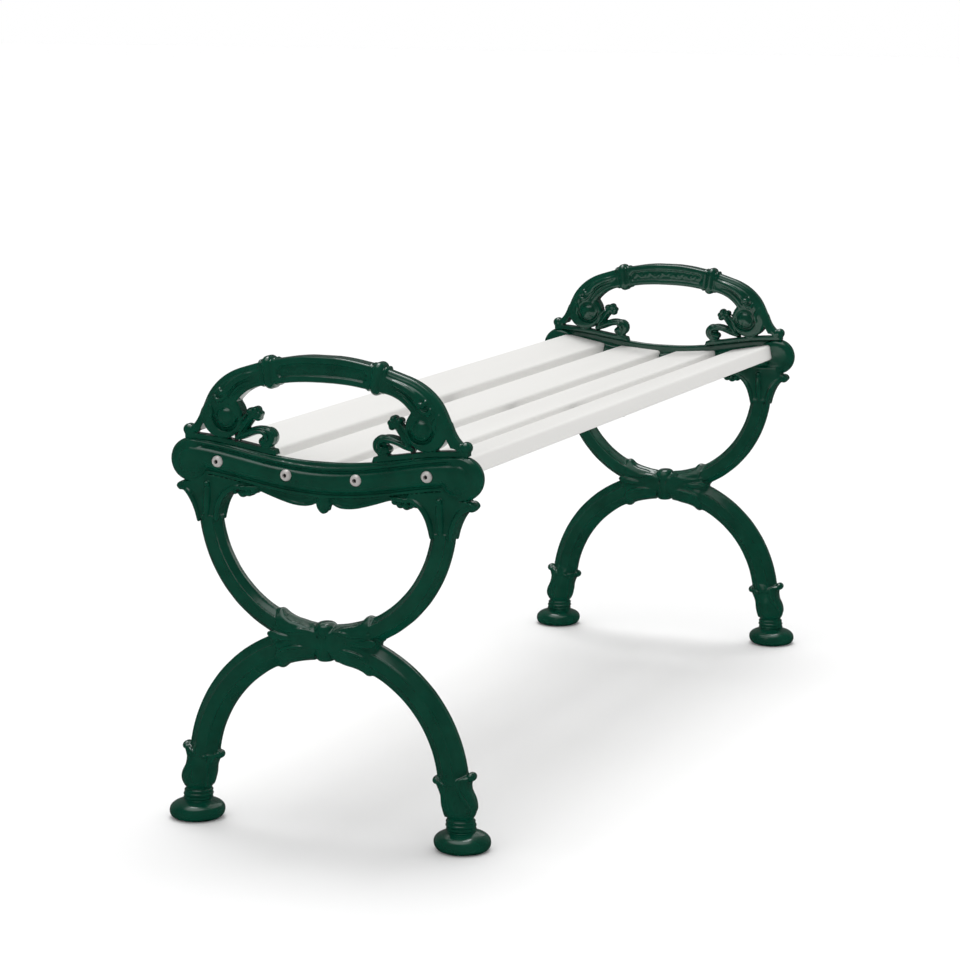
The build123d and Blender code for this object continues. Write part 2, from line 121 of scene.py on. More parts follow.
class Field:
    """Distances to a solid at the points of a grid."""

    def __init__(self, low, high, step):
        self.step = step
        self.axes = [np.arange(a, b + step / 2, step, dtype=np.float32) for a, b in zip(low, high)]
        self.values = np.full([len(axis) for axis in self.axes], 30.0, np.float32)

    def window(self, low, high):
        """The grid's slices that cover a box, and the x, y and z of their points."""
        cut = []
        for axis, a, b in zip(self.axes, low, high):
            cut.append(slice(*np.searchsorted(axis, (a, b))))
        x, y, z = (axis[c] for axis, c in zip(self.axes, cut))
        return tuple(cut), (x[:, None, None], y[None, :, None], z[None, None, :])

    def add(self, shape, blend=0.0):
        distance, low, high = shape
        cut, points = self.window(low, high)
        if all(c.stop > c.start for c in cut):
            self.values[cut] = smooth_min(self.values[cut], distance(*points), blend)

    def carve(self, shape, blend=0.0):
        distance, low, high = shape
        cut, points = self.window(low, high)
        if all(c.stop > c.start for c in cut):
            self.values[cut] = smooth_max(self.values[cut], -distance(*points), blend)

    def mirror(self, k):
        """Add the mirror image on the other side of zero, along axis k."""
        back = np.flip(np.take(self.values, range(1, self.values.shape[k]), k), k)
        self.values = np.concatenate([back, self.values], k)
        self.axes[k] = np.concatenate([-self.axes[k][:0:-1], self.axes[k]])

    def ripple(self):
        """The slight waviness of a sand-cast face: crossed waves, 26 to 80 mm long."""
        x, y, z = self.axes
        wave = np.sin(y / 7.3 + 1)[None, :, None] * np.sin(z / 8.1)[None, None, :]
        wave = wave + np.sin(y / 4.1 + z[:, None] / 12.7)[None].transpose(0, 2, 1) * 0.5
        self.values += RIPPLE * wave * np.cos(x / 23)[:, None, None]

    def surface(self, name):
        """Mesh of the zero surface, in metres, closed, evened out and with few enough triangles."""
        grid = openvdb.FloatGrid()
        grid.background = 30.0
        grid.copyFromArray(np.ascontiguousarray(self.values), ijk=(0, 0, 0), tolerance=0)
        points, quads = grid.convertToQuads(isovalue=0)
        low = np.array([axis[0] for axis in self.axes])
        mesh = bpy.data.meshes.new(name)
        mesh.from_pydata(((points * self.step + low) * MM).tolist(), [], quads.tolist())
        holder = bpy.data.objects.new(name, mesh)
        bpy.context.scene.collection.objects.link(holder)
        even = holder.modifiers.new("even", "SMOOTH")
        even.factor, even.iterations = 0.5, 2
        thin = holder.modifiers.new("thin", "DECIMATE")
        thin.ratio = min(1.0, MOST_TRIANGLES / (2 * len(quads)))
        graph = bpy.context.evaluated_depsgraph_get()
        lean = bpy.data.meshes.new_from_object(holder.evaluated_get(graph))
        bpy.data.objects.remove(holder)
        lean.polygons.foreach_set("use_smooth", [True] * len(lean.polygons))
        return lean


# ---- shapes: each is a distance function and the box that it matters in ---------------------
REACH = 6.0                  # how far beyond a shape its box extends, for blending


def around(points, radius):
    """The box around points, grown by a radius and the reach."""
    points = np.array(points, float)
    return points.min(0) - radius - REACH, points.max(0) + radius + REACH


def ball(x, y, z, radius, depth=None):
    """A ball, squashed along x to a half depth if one is given. It is at x and at -x."""
    squash = radius / (depth or radius)

    def distance(px, py, pz):
        dx = (np.abs(px) - x) * squash
        return np.sqrt(dx * dx + (py - y) ** 2 + (pz - z) ** 2) - radius
    reach = max(radius, depth or radius)
    return distance, *around([(x, y, z), (-x, y, z)], reach)


def curve(knots, steps=8):
    """Points on a smooth line through the knots, whatever their number of coordinates."""
    knots = np.array(knots, float)
    padded = np.vstack([2 * knots[0] - knots[1], knots, 2 * knots[-1] - knots[-2]])
    points = []
    for a, b, c, d in zip(padded, padded[1:], padded[2:], padded[3:]):
        for t in np.arange(steps) / steps:
            points.append(b + 0.5 * t * (c - a + t * (2 * a - 5 * b + 4 * c - d + t * (3 * (b - c) + d - a))))
    return np.array(points + [knots[-1]])


def strand(*knots, steps=6, flat=1.0):
    """A round rod of changing radius through knots (x, y, z, radius), at x and at -x alike.

    flat above 1 widens it across x, so that it lies like a leaf on the casting's face.
    """
    line = curve(knots, steps)

    def distance(px, py, pz):
        best = None
        px = np.abs(px)
        for (ax, ay, az, ar), (bx, by, bz, br) in zip(line, line[1:]):
            dy, dz, dx = (by - ay) / flat, (bz - az) / flat, bx - ax
            qx, qy, qz = px - ax, (py - ay) / flat, (pz - az) / flat
            t = np.clip((qx * dx + qy * dy + qz * dz) / (dx * dx + dy * dy + dz * dz + 1e-6), 0, 1)
            away = np.sqrt((qx - t * dx) ** 2 + (qy - t * dy) ** 2 + (qz - t * dz) ** 2)
            away = away - (ar + t * (br - ar))
            best = away if best is None else np.minimum(best, away)
        return best
    ends = [(s * p[0], p[1], p[2]) for p in line for s in (-1, 1)]
    return distance, *around(ends, line[:, 3].max() * flat)


def outline_distance(outline, u, v):
    """Signed distance in a plane to a closed outline."""
    nearest = np.full(np.broadcast(u, v).shape, 1e9, np.float32)
    inside = np.zeros(nearest.shape, bool)
    for (u0, v0), (u1, v1) in zip(outline, [*outline[1:], outline[0]]):
        du, dv = u1 - u0, v1 - v0
        t = np.clip(((u - u0) * du + (v - v0) * dv) / (du * du + dv * dv + 1e-9), 0, 1)
        nearest = np.minimum(nearest, (u - u0 - t * du) ** 2 + (v - v0 - t * dv) ** 2)
        if dv:
            inside ^= ((v0 <= v) != (v1 <= v)) & (u < u0 + (v - v0) * du / dv)
    return np.where(inside, -1, 1) * np.sqrt(nearest)


def line_distance(line, u, v):
    """Distance in a plane to an open line, with no side to it."""
    nearest = np.full(np.broadcast(u, v).shape, 1e9, np.float32)
    for (u0, v0), (u1, v1) in zip(line, line[1:]):
        du, dv = u1 - u0, v1 - v0
        t = np.clip(((u - u0) * du + (v - v0) * dv) / (du * du + dv * dv + 1e-9), 0, 1)
        nearest = np.minimum(nearest, (u - u0 - t * du) ** 2 + (v - v0 - t * dv) ** 2)
    return np.sqrt(nearest)


def plate(outline, x_low, x_high, edge):
    """A plate with an outline in the y, z plane and rounded edges."""
    middle, half = (x_low + x_high) / 2, (x_high - x_low) / 2

    def distance(x, y, z):
        return rounded(outline_distance(outline, y, z), np.abs(x - middle) - half, edge)
    low, high = around([(x_low, *p) for p in outline] + [(x_high, *p) for p in outline], 0)
    return distance, low, high


def lathe(outline, axis_y, deep=1.0):
    """A turned solid: its outline is in radius and height, and axis_y(z) gives its centre line.

    deep above 1 stretches it along x.
    """
    def distance(x, y, z):
        radius = np.hypot(x / deep, y - axis_y(z))
        return outline_distance(outline, radius, z + 0 * radius)
    widest = max(p[0] for p in outline)
    heights = [p[1] for p in outline]
    low = (-widest * deep - REACH, axis_y(min(heights)) - widest - 3 * REACH, min(heights) - REACH)
    high = (widest * deep + REACH, axis_y(min(heights)) + widest + REACH, max(heights) + REACH)
    return distance, low, high


def tilted_box(y, z, tilt, across, x_low, x_high, top, bottom, edge):
    """A box turned about x by a tilt in degrees, its top and bottom measured up from (y, z)."""
    c, s = cos(radians(tilt)), sin(radians(tilt))
    deep = max(abs(top), abs(bottom))

    def distance(px, py, pz):
        u = (py - y) * c + (pz - z) * s
        v = (pz - z) * c - (py - y) * s
        section = rounded(np.abs(u) - across / 2, np.abs(v - (top + bottom) / 2) - (top - bottom) / 2, edge)
        return np.maximum(section, np.abs(px - (x_low + x_high) / 2) - (x_high - x_low) / 2)
    reach = across / 2 + deep
    low, high = around([(x_low, y - reach, z - reach), (x_high, y + reach, z + reach)], 0)
    return distance, low, high


def bar(y, z, radius, x_low, x_high, edge=0.5):
    """A round bar along x."""
    def distance(px, py, pz):
        ends = np.abs(px - (x_low + x_high) / 2) - (x_high - x_low) / 2
        return rounded(np.hypot(py - y, pz - z) - radius, ends, edge)
    return distance, *around([(x_low, y, z), (x_high, y, z)], radius)


def post(x, y, radius, z_low, z_high):
    """A round bar along z."""
    def distance(px, py, pz):
        ends = np.abs(pz - (z_low + z_high) / 2) - (z_high - z_low) / 2
        return np.maximum(np.hypot(px - x, py - y) - radius, ends)
    return distance, *around([(x, y, z_low), (x, y, z_high)], radius)


def arc(y, z, radius, start, end, steps=24):
    """Points on an arc, from one angle to another in degrees."""
    angles = [radians(start + (end - start) * i / steps) for i in range(steps + 1)]
    return [(y + radius * cos(a), z + radius * sin(a)) for a in angles]


def symmetric(half):
    """A closed outline from its y >= 0 half, which runs from y = 0 round to y = 0."""
    return half + [(-y, z) for y, z in reversed(half) if y > 0.01]


# ---- legs ---------------------------------------------------------------------------------
def leg_section(u, x, half, grow=0.0):
    """Distance to a leg's bevelled section: u runs across it and x through it."""
    u, x = np.abs(u), np.abs(x)
    width, height = half - LEG_FLAT, LEG_DEPTH - LEG_SIDE
    bevel = ((u - LEG_FLAT) * height + (x - LEG_DEPTH) * width) / hypot(width, height)
    block = smooth_max(u - half, x - LEG_DEPTH, 2.0)
    return smooth_max(block, bevel, 1.5) - grow


def leg(z, radius, half, z_low, z_high):
    """One leg: an arc about an x axis, with fine raised lines along its face and its edges."""
    def distance(px, py, pz):
        u = np.hypot(py, pz - z) - radius
        solid = leg_section(u, px, half)
        lines = np.hypot(np.abs(u) - LEG_FLAT - 0.4, np.abs(px) - LEG_DEPTH + 0.7) - 1.25
        edges = np.hypot(np.abs(u) - half + 0.9, np.abs(px) - LEG_SIDE - 0.3) - 1.3
        solid = smooth_min(solid, lines, 0.8)
        solid = smooth_min(solid, edges, 0.8)
        ends = np.maximum(z_low - pz, pz - z_high)
        return np.maximum(solid, np.maximum(ends, LEAF_Y - py))
    return distance, (-LEG_DEPTH - REACH, 0, z_low - 1), (LEG_DEPTH + REACH, 230, z_high + 1)


def sleeve(z, radius, half, edge_line, grow):
    """A leaf wrapped round a leg as far out as its edge line, which runs across the leg."""
    outline = [(-20, edge_line[0][1]), *edge_line, (-20, edge_line[-1][1])]
    heights = [p[1] for p in edge_line]

    def distance(px, py, pz):
        u = np.hypot(py, pz - z) - radius
        return rounded(leg_section(u, px, half, grow), outline_distance(outline, py, pz), 1.2)
    reach = max(p[0] for p in edge_line)
    return distance, (-20, 0, min(heights) - 2), (20, reach + 3, max(heights) + 2)


def crossing(field):
    """The leaves where the legs cross: on each side one up, one down and a tongue between them."""
    top = curve([(0, 247), (11, 247.5), (15.5, 251), (20, 253), (28, 255.3), (37, 257), (46, 258.3),
                 (53, 260.5), (62, 262)], 3).tolist()
    low = curve([(60, 206), (54, 206), (47, 206.8), (40, 208.4), (29, 210), (20.5, 211.5), (16, 213.8),
                 (11, 215.3), (0, 216)], 3).tolist()
    field.add(plate(symmetric([*top, (68, 252), (72, 239), (68, 226), *low]), -12.8, 12.8, 8.5), 2)
    edge = curve([(53, 268), (58, 263), (57.5, 256), (58.5, 250), (64, 246), (70, 242.5), (72, 239),
                  (68, 235), (63, 230), (60, 223), (60.5, 214), (58, 206), (54, 200)], 4).tolist()
    field.add(sleeve(UPPER_Z, UPPER_R, UPPER_HALF, edge, 1.9), 1)
    field.add(sleeve(LOWER_Z, LOWER_R, LOWER_HALF, edge, 1.9), 1)
    # the swell of each leaf, and the ball where its tip rolls back
    field.add(strand((8, 15, 243, 4.5), (9.6, 28, 247, 6.2), (9.6, 43, 250.5, 6.2), (8, 53, 257, 5.2),
                     (3, 57.5, 264, 4.6), flat=1.3), 3)
    field.add(strand((8, 15, 222, 5), (9.8, 29, 219, 6.6), (9.8, 43, 215.5, 6.4), (8.4, 52.5, 210.5, 5.4),
                     (3, 57, 204.5, 4.8), flat=1.3), 3)
    for y, z, radius in ((57.4, 263.4, 6.6), (57, 204.2, 6.7)):
        field.add(ball(0.5, y, z, radius, radius + 2), 0.6)
    # ridges: along the upper leaf, along the lower one to its ball, and across the leaf's foot
    field.add(strand((12.2, 13.5, 246.5, 1.6), (15.4, 26, 248.5, 2.4), (15.4, 40, 246.5, 2.2),
                     (14.6, 52, 247, 1.9), (13.4, 63, 249.5, 1.1)), 1.2)
    field.add(strand((12, 14, 227, 1.2), (15.4, 30, 227.5, 2.2), (15.8, 42, 226, 2.4), (15.2, 52, 222.5, 2.2),
                     (13.2, 59, 216.5, 2.2), (8.5, 60.5, 209, 2.0)), 1.2)
    field.add(strand((5.5, 59, 266, 1.8), (10.5, 59.5, 260.5, 1.9), (13.4, 58.5, 254.5, 1.8),
                     (14.2, 56.5, 249, 1.2)), 0.8)
    # the tongue, with a rolled rim round its tip
    field.add(strand((13, 38, 236.5, 2.4), (15, 50, 237.3, 3.4), (14.8, 60, 239, 3.2), (13.6, 69, 241, 1.8),
                     flat=1.3), 1.2)
    field.add(strand((15, 51, 234, 0.9), (16.6, 59, 234.8, 1.3), (16, 66.5, 237.5, 1.5),
                     (15.4, 69.5, 241, 1.5),
                     (16, 64, 243.4, 1.4), (16.4, 56, 241.4, 1.0)), 0.6)
    field.add(ball(12.8, 35, 237.5, 4.6, 3.2), 1)
    # hollows between them
    field.carve(strand((18, 23.5, 237, 1.2), (17, 27.5, 234, 2.8), (17, 32.5, 230.8, 1.4)), 1)
    field.carve(strand((18, 18, 240, 1.0), (17.8, 30, 242.2, 1.8), (18, 42, 242, 1.0)), 1)
    field.carve(strand((18, 48, 231, 0.9), (17.4, 56, 229, 2.0), (16.5, 64, 232, 1.2)), 1)
    field.carve(strand((18, 50, 243.5, 0.9), (17.2, 57, 245.6, 1.8), (16, 65, 245.6, 1.0)), 1)
    field.carve(strand((17.5, 16, 220, 0.8), (18.2, 30, 221.8, 1.8), (18, 44, 219.8, 1.0)), 1)


def knot(field):
    """A turned spool between the leaves: a barrel that swells downwards, with a fat bead above it."""
    outline = [(0, 210.3), *curve([(4, 210.4), (9.5, 212), (12.4, 216.5), (13, 224), (12.6, 232), (12.2, 238),
                                   (11.9, 241.6)], 4).tolist(),
               *curve([(12.0, 242.2), (13.2, 246), (13.4, 250.5), (11.6, 254.8), (7.5, 257.8), (0, 258.5)],
                      4).tolist()]
    field.carve(lathe([(0, 205), (13, 205), (13.3, 220), (12.2, 236), (13.2, 262), (0, 262)],
                      lambda z: 0.0, 1.3), 1)
    field.add(lathe(outline, lambda z: 0.0, 1.24), 0.8)


# ---- foot ---------------------------------------------------------------------------------
FOOT_AXIS = ((0, 176.2), (20, 174.5), (36, 173.0), (52, 172.0), (66, 169.5), (80, 166.0), (100, 160.0))


def foot_axis(z):
    """y of the foot's centre line at a height: it leans in towards the leg."""
    return np.interp(z, *zip(*FOOT_AXIS))


def foot(field):
    """Turned foot: a bun, a ringed neck and a bulb, with a leafy cup that the leg rises from."""
    outline = [(0, 1), (29, 1), *curve([(29, 1), (32.5, 4.5), (33.9, 9.6), (32.8, 14.6), (28.8, 18.6),
                                        (23, 21.2), (18.5, 22.6)], 5).tolist(), (15.8, 23.2)]
    for ring_z, ring_r in ((25.6, 18.3), (30.2, 18.5), (34.7, 17.8)):
        outline += [(15.8, ring_z - 2.2), *[(ring_r - 1.9 + 1.9 * sin(a), ring_z - 2.0 * cos(a))
                                            for a in (0.3, 0.8, pi / 2, pi - 0.8, pi - 0.3)],
                    (15.8, ring_z + 2.2)]
    outline += [(15.2, 38), *curve([(15.4, 38.4), (18.0, 42), (20.0, 47), (20.9, 53), (20.4, 60), (18.8, 67),
                                    (17.0, 74), (16.4, 80), (17.0, 85)], 5).tolist(), (14, 92), (0, 92)]
    field.add(lathe(outline, foot_axis), 0.8)
    field.carve(post(0, FOOT_Y, 25.3, -5, 4))


def calyx(field):
    """Leaves that cup the leg above the foot: an outer curl, an inner curl and a scalloped rim."""
    cup = [(145, 80), (149, 82.5), (154, 80.5), (158, 79.5), (163, 83), (169, 80.5), (175, 85), (181, 90),
           (187, 90), (184, 78), (185, 62), (153, 62)]
    field.add(plate(cup, -14.2, 14.2, 6), 4)
    # rolled edges: from each curl inwards across the face, and down round the bulb
    field.add(strand((5, 184, 88.5, 2.0), (10.5, 180.5, 87.6, 2.4), (14, 175.5, 84.5, 2.4),
                     (15.2, 176, 76.5, 2.3),
                     (15.4, 181, 67.5, 2.2), (13.5, 186.8, 58, 2.0), (10.5, 189.5, 49, 1.5),
                     (11, 186, 42, 1.0)), 1)
    field.add(strand((5, 147.5, 81, 1.8), (10, 150, 79.6, 2.2), (13.4, 152.5, 76, 2.2),
                     (12.6, 155.2, 67, 2.6),
                     (12.4, 155.6, 57, 2.4), (11.4, 157, 47, 1.8), (11, 158, 41, 1.0)), 1)
    field.add(strand((14.6, 174, 83, 1.8), (15.2, 169, 80, 1.7), (15.6, 163.5, 82.5, 1.9),
                     (15.4, 158, 79.5, 1.6),
                     (14, 153, 81.5, 1.8), (9, 147, 81.5, 1.8)), 0.8)
    # the fold between the two leaves, and a crease in the outer one
    field.carve(strand((17.5, 165.5, 78, 0.8), (20.4, 166, 68, 1.5), (22.6, 167.5, 55, 1.6),
                       (20.6, 169.5, 43, 1.0)),
                0.8)
    field.carve(strand((19.4, 173.5, 62, 0.8), (21.4, 175, 54, 1.8), (19.4, 178, 46.5, 1.0)), 0.8)
    for y, z, radius in ((187, 89.2, 5.4), (143.8, 81.6, 5.3)):
        field.add(ball(1.5, y, z, radius, radius + 2.5), 0.6)


# ---- capital ------------------------------------------------------------------------------
def capital(field):
    """Flared top of the upper leg: two rolled edges, a tongue between them, and a curl outside."""
    flare = [*curve([(138.4, 371), (137.2, 380), (134.6, 388), (130, 396), (123.5, 403), (115, 408.5),
                     (108, 411)], 4).tolist(), (108, 428), (180, 428), (185, 414),
             *curve([(184, 406), (178.5, 399.5), (173.5, 391), (169.5, 381), (165.8, 371)], 4).tolist()]
    field.add(plate(flare, -LEG_DEPTH + 1, LEG_DEPTH - 2, 4.5), 2)
    field.add(strand((8, 108, 414, 2.4), (10.4, 118, 411.5, 3.0), (11.4, 128, 404.5, 3.5),
                     (11.6, 135, 394, 3.7),
                     (11.4, 138.6, 383, 3.5), (11, 140, 372, 2.6)), 1)
    field.add(strand((11, 152.4, 368, 1.8), (11.8, 152.2, 380, 3.4), (12.2, 151.4, 392, 4.4),
                     (11.8, 150.8, 404, 4.6), (11, 150.6, 412, 4)), 1)
    field.add(strand((10.6, 163.4, 370, 2.2), (11.2, 165.2, 381, 3.0), (11.6, 169.6, 393, 3.4),
                     (11, 176, 402.5, 3.4), (7.5, 183.5, 408, 3.6)), 1)
    field.add(ball(13.6, 150.6, 414.6, 4.0), 0.6)
    field.add(ball(1.5, 187, 409.2, 6.2, 8.4), 1.5)
    field.add(strand((8, 181, 413, 1.5), (9.6, 187, 413.5, 1.9), (9.2, 191.5, 409.5, 1.7),
                     (7.8, 189, 405, 1.2)), 0.6)
    field.carve(strand((15.5, 127.5, 413, 1.6), (15.2, 136.5, 405, 2.2), (15, 143, 393, 2.4),
                       (15, 146, 381, 2.0),
                       (14.6, 146.6, 370, 1.0)), 1)
    field.carve(strand((15.5, 165.5, 411, 1.8), (15, 161.6, 401, 2.4), (14.8, 159, 389, 2.2),
                       (14.6, 158.2, 377, 1.2)),
                1)


# ---- seat rail ----------------------------------------------------------------------------
def rail_top(y):
    """Height of the rail's top edge: a dish that rises from the middle to the lobes."""
    t = min(abs(y) / LOBE_Y, 1.0)
    return RAIL_TOP + RAIL_RISE * sin(pi / 2 * t ** RAIL_HOLLOW) ** 2


def along_rail(drop, rise, y_from, y_to, steps=24):
    """A line below the rail's top edge: by drop at the middle and by drop - rise at the lobes."""
    ys = [y_from + (y_to - y_from) * i / steps for i in range(steps + 1)]
    return [(y, rail_top(y) - drop + rise * y / LOBE_Y) for y in ys]


def seat_rail(field):
    """Dished rail: a rim with a bead, a raised panel, and a lobe at its end."""
    outline = symmetric(along_rail(0, 0, 0, LOBE_Y) + arc(LOBE_Y, LOBE_Z, LOBE_R, 89, -150)
                        + along_rail(43, 3, 150, 0))
    panel = symmetric(along_rail(11.5, 4.5, 0, 168) + arc(LOBE_Y - 3.5, LOBE_Z - 0.6, PANEL_R, 86, -158)
                      + along_rail(36.5, 3, 156, 0))
    field.carve(plate(outline, 3, 30, 0.5), 1)
    field.add(plate(outline, 0, RIM_OUT, 3))

    def raised(x, y, z):
        inset = outline_distance(panel, y, z)
        bead = np.hypot(inset - 3.6, x - 9) - 2.2
        table = rounded(inset, np.abs(x - 5) - (PANEL_OUT - 5), 10)
        groove = np.hypot(inset - 0.6, x - RIM_OUT - 1) - 1.2
        return smooth_min(np.maximum(table, -groove), bead, 0.6)
    rail_box = ((-6, 0, 400), (PANEL_OUT + 4, 206, 472))

    def lobe(x, y, z):
        return rounded(np.hypot(y - LOBE_Y, z - LOBE_Z) - LOBE_R, np.abs(x - 1.2) - 10.8, 9.5)
    field.add((lobe, *around([(0, LOBE_Y, LOBE_Z)], LOBE_R)), 2)
    field.add((raised, *rail_box), 0.6)


def swag(field):
    """Crescent that hangs under the middle of the rail, with a pendant drop."""
    lower = curve([(11, 399.5), (20, 396.3), (34, 396.6), (50, 399.8), (64, 403.5), (80, 408.3),
                   (96, 412)], 4)
    crescent = [(0, 412), (0, 399), *lower.tolist(), (96, 418), (0, 414)]
    field.add(plate(symmetric(crescent), 0, 6, 2), 1.5)
    field.add(strand(*[(6.2, y, z + 1.6, 1.2 + 1.1 * sin(pi * i / 5)) for i, (y, z) in
                       enumerate([(13, 399), (22, 396.3), (36, 396.8), (52, 400.3), (66, 404),
                                  (84, 409.3)])]), 1)
    field.add(strand(*[(5.6, y, z, 1.3) for y, z in
                       [(16, 406), (30, 402.6), (46, 403.4), (62, 407), (76, 411)]]), 1)
    pendant = symmetric(curve([(0, 411), (7, 408), (9.6, 402), (8, 395), (4, 390), (0, 388.3)], 4).tolist())
    field.add(plate(pendant, 0, 11, 5), 1.5)
    field.add(strand((8, 0, 408, 2.0), (10.6, 0, 401, 2.6), (9.4, 0, 392, 1.6), flat=1.5), 1.5)
    field.carve(strand((12.5, 4.8, 405, 0.8), (12.2, 6, 400, 1.4), (11, 4.2, 394, 0.8)), 1)


def leaf_cluster(field):
    """Leaf tips in a row under the rail, between the swag and the capital."""
    backing = [(88, 411), (93, 407), (120, 407), (124, 416), (118, 422), (88, 420)]
    field.add(plate(backing, -4, 8, 2), 2)
    for y, z, radius in ((91.5, 409.5, 4.4), (98.5, 406.8, 5.0), (106.5, 405.6, 5.4), (114.5, 406.6, 4.8)):
        field.add(ball(3.5, y, z, radius, radius + 3), 1)
    field.add(strand((8, 84, 415, 1.6), (10, 93, 413.5, 2.6), (10.6, 104, 412.5, 3.0),
                     (10, 116, 413, 2.6)), 1.2)
    for y in (95, 102.5, 110.5):
        field.carve(strand((12.5, y, 404, 0.8), (13.4, y, 409, 1.5), (13, y - 1, 414, 0.7)), 0.8)


def screw_axis(slat):
    """y and z of the screw in a slat's end: the middle of its section."""
    y, z, tilt = slat
    return y + SLAT_THICK / 2 * sin(radians(tilt)), z - SLAT_THICK / 2 * cos(radians(tilt))


def fixings(field):
    """Shelves under the slat ends, pockets for the slats, and holes for the screws and bolts."""
    for y, z, tilt in SLATS:
        field.add(tilted_box(y, z, tilt, SLAT_WIDTH - 10, -SHELF_REACH, 4, -SLAT_THICK - SLAT_GAP,
                             -SLAT_THICK - SHELF_THICK, 1.5), 2)
        field.carve(tilted_box(y, z, tilt, SLAT_WIDTH + 2 * SLAT_GAP, -60, 0, SLAT_GAP,
                               -SLAT_THICK - SLAT_GAP, 4))
        screw_y, screw_z = screw_axis((y, z, tilt))
        field.carve(bar(screw_y, screw_z, HEAD_HOLE_R, HEAD_SEAT, 30, 0.1))
        field.carve(bar(screw_y, screw_z, SHANK_HOLE_R, -5, 30, 0.1))
    field.carve(post(ARM_BOLT_X, ARM_BOLT_Y, ARM_BOLT_HOLE_R, 390, 414))


def end_frame():
    """The whole end casting."""
    field = Field((-36, 0, -2), (36, 213, 474), FRAME_STEP)
    field.add(leg(UPPER_Z, UPPER_R, UPPER_HALF, 215, CAPITAL_Z))
    field.add(leg(LOWER_Z, LOWER_R, LOWER_HALF, ANKLE_Z, 260), 1)
    crossing(field)
    knot(field)
    capital(field)
    leaf_cluster(field)
    seat_rail(field)
    swag(field)
    foot(field)
    calyx(field)
    fixings(field)
    field.ripple()
    field.mirror(1)
    return field.surface("end_frame")


# ---- armrest ------------------------------------------------------------------------------
OUTER_EDGE = ((0, 574.4), (20, 574), (40, 571.8), (60, 568.3), (72, 565.8), (84, 562.8), (100, 557.8),
              (112, 554), (122, 549.5), (132, 543.2), (141, 535.5), (149, 526), (155, 515), (159.5, 504.5),
              (163, 495), (167, 487), (172, 481.5))
INNER_EDGE = ((0, 543.6), (20, 543.1), (40, 541.6), (59, 538.9), (70, 537.4), (80, 535.2), (90, 532.2),
              (100, 527), (109, 519.5), (116, 511.5))


def hoop(field):
    """Handgrip and shoulders, with the relief on their faces."""
    outer = curve(OUTER_EDGE, 4).tolist()
    inner = curve(INNER_EDGE, 4).tolist()
    outline = symmetric(outer + [(168, 476), (163, 477), (158, 485), (153, 497), (140, 500), (124, 502)]
                        + inner[::-1])

    def distance(x, y, z):
        inside = outline_distance(outline, y, z)
        from_outer = line_distance(outer, y, z)
        from_inner = line_distance(inner, y, z)
        shoulder = ramp((y - 74) / 12)
        face = ARM_DEPTH - 1.2 * shoulder
        face = face - 3.4 * ramp((8 - from_outer) / 6) * shoulder
        face = face + 1.5 * np.exp(-((from_outer - 11) / 3.2) ** 2) * shoulder
        face = face - 0.9 * np.exp(-((from_outer - 6.8) / 1.1) ** 2) * shoulder
        face = face + 0.9 * np.exp(-((from_inner - 4.2) / 1.3) ** 2) * shoulder
        # recessed panel of the handgrip, with clipped corners
        within = np.minimum(from_outer - 8, from_inner - 7.5)
        to_end = GRIP_PANEL_END - y
        within = np.minimum(within, np.minimum(to_end, (within + to_end - 4.5) * 0.7))
        face = face - GRIP_PANEL_SINK * np.clip(within / 2.4 + 0.3, 0, 1) * (1 - shoulder)
        return rounded(inside, x - face, 3.5)
    field.add((distance, (-1, 0, 470), (20, 182, 580)))


def vine(field):
    """Low running vine in the handgrip's panel."""
    middle = curve([(0, 558.4), (30, 557.8), (52, 555)], 12)
    for k in range(5):
        a, b = 2 + 10.4 * k, 2 + 10.4 * (k + 1)
        za, zb = (np.interp(v, middle[:, 0], middle[:, 1]) for v in (a, b))
        up = 1 if k % 2 == 0 else -1
        mid_y, mid_z = (a + b) / 2, (za + zb) / 2
        field.add(strand((8.7, a, za, 1.2), (8.9, mid_y, mid_z + 3.2 * up, 1.2), (8.7, b, zb, 1.2)), 1)
        field.add(strand((8.6, mid_y - 1, mid_z + 2.4 * up, 1.2), (8.6, mid_y + 1.4, mid_z - 1.2 * up, 1.7),
                         (8.4, mid_y + 3.4, mid_z - 3 * up, 1.0), flat=1.3), 1)


def collar(field):
    """Ring beads around the hoop, between the handgrip and the shoulder."""
    y0, z0, lean = 70.0, 551.7, radians(8.6)
    half_height, half_depth = 15.2, ARM_DEPTH - 1.2

    def beads(x, y, z):
        along = (y - y0) * cos(lean) - (z - z0) * sin(lean)
        across = (y - y0) * sin(lean) + (z - z0) * cos(lean)
        section = rounded(np.abs(across) - half_height, x - half_depth, 6)
        rings = []
        for place, radius, sink in ((0, 6.6, 2.0), (-9.3, 2.4, 0.8), (9.3, 2.0, 0.8)):
            rings.append(np.hypot(along - place, np.maximum(section + sink, -4)) - radius)
        return smooth_min(smooth_min(rings[0], rings[1], 0.8), rings[2], 0.8)
    field.add((beads, (-1, 54, 522), (20, 90, 580)), 0.8)


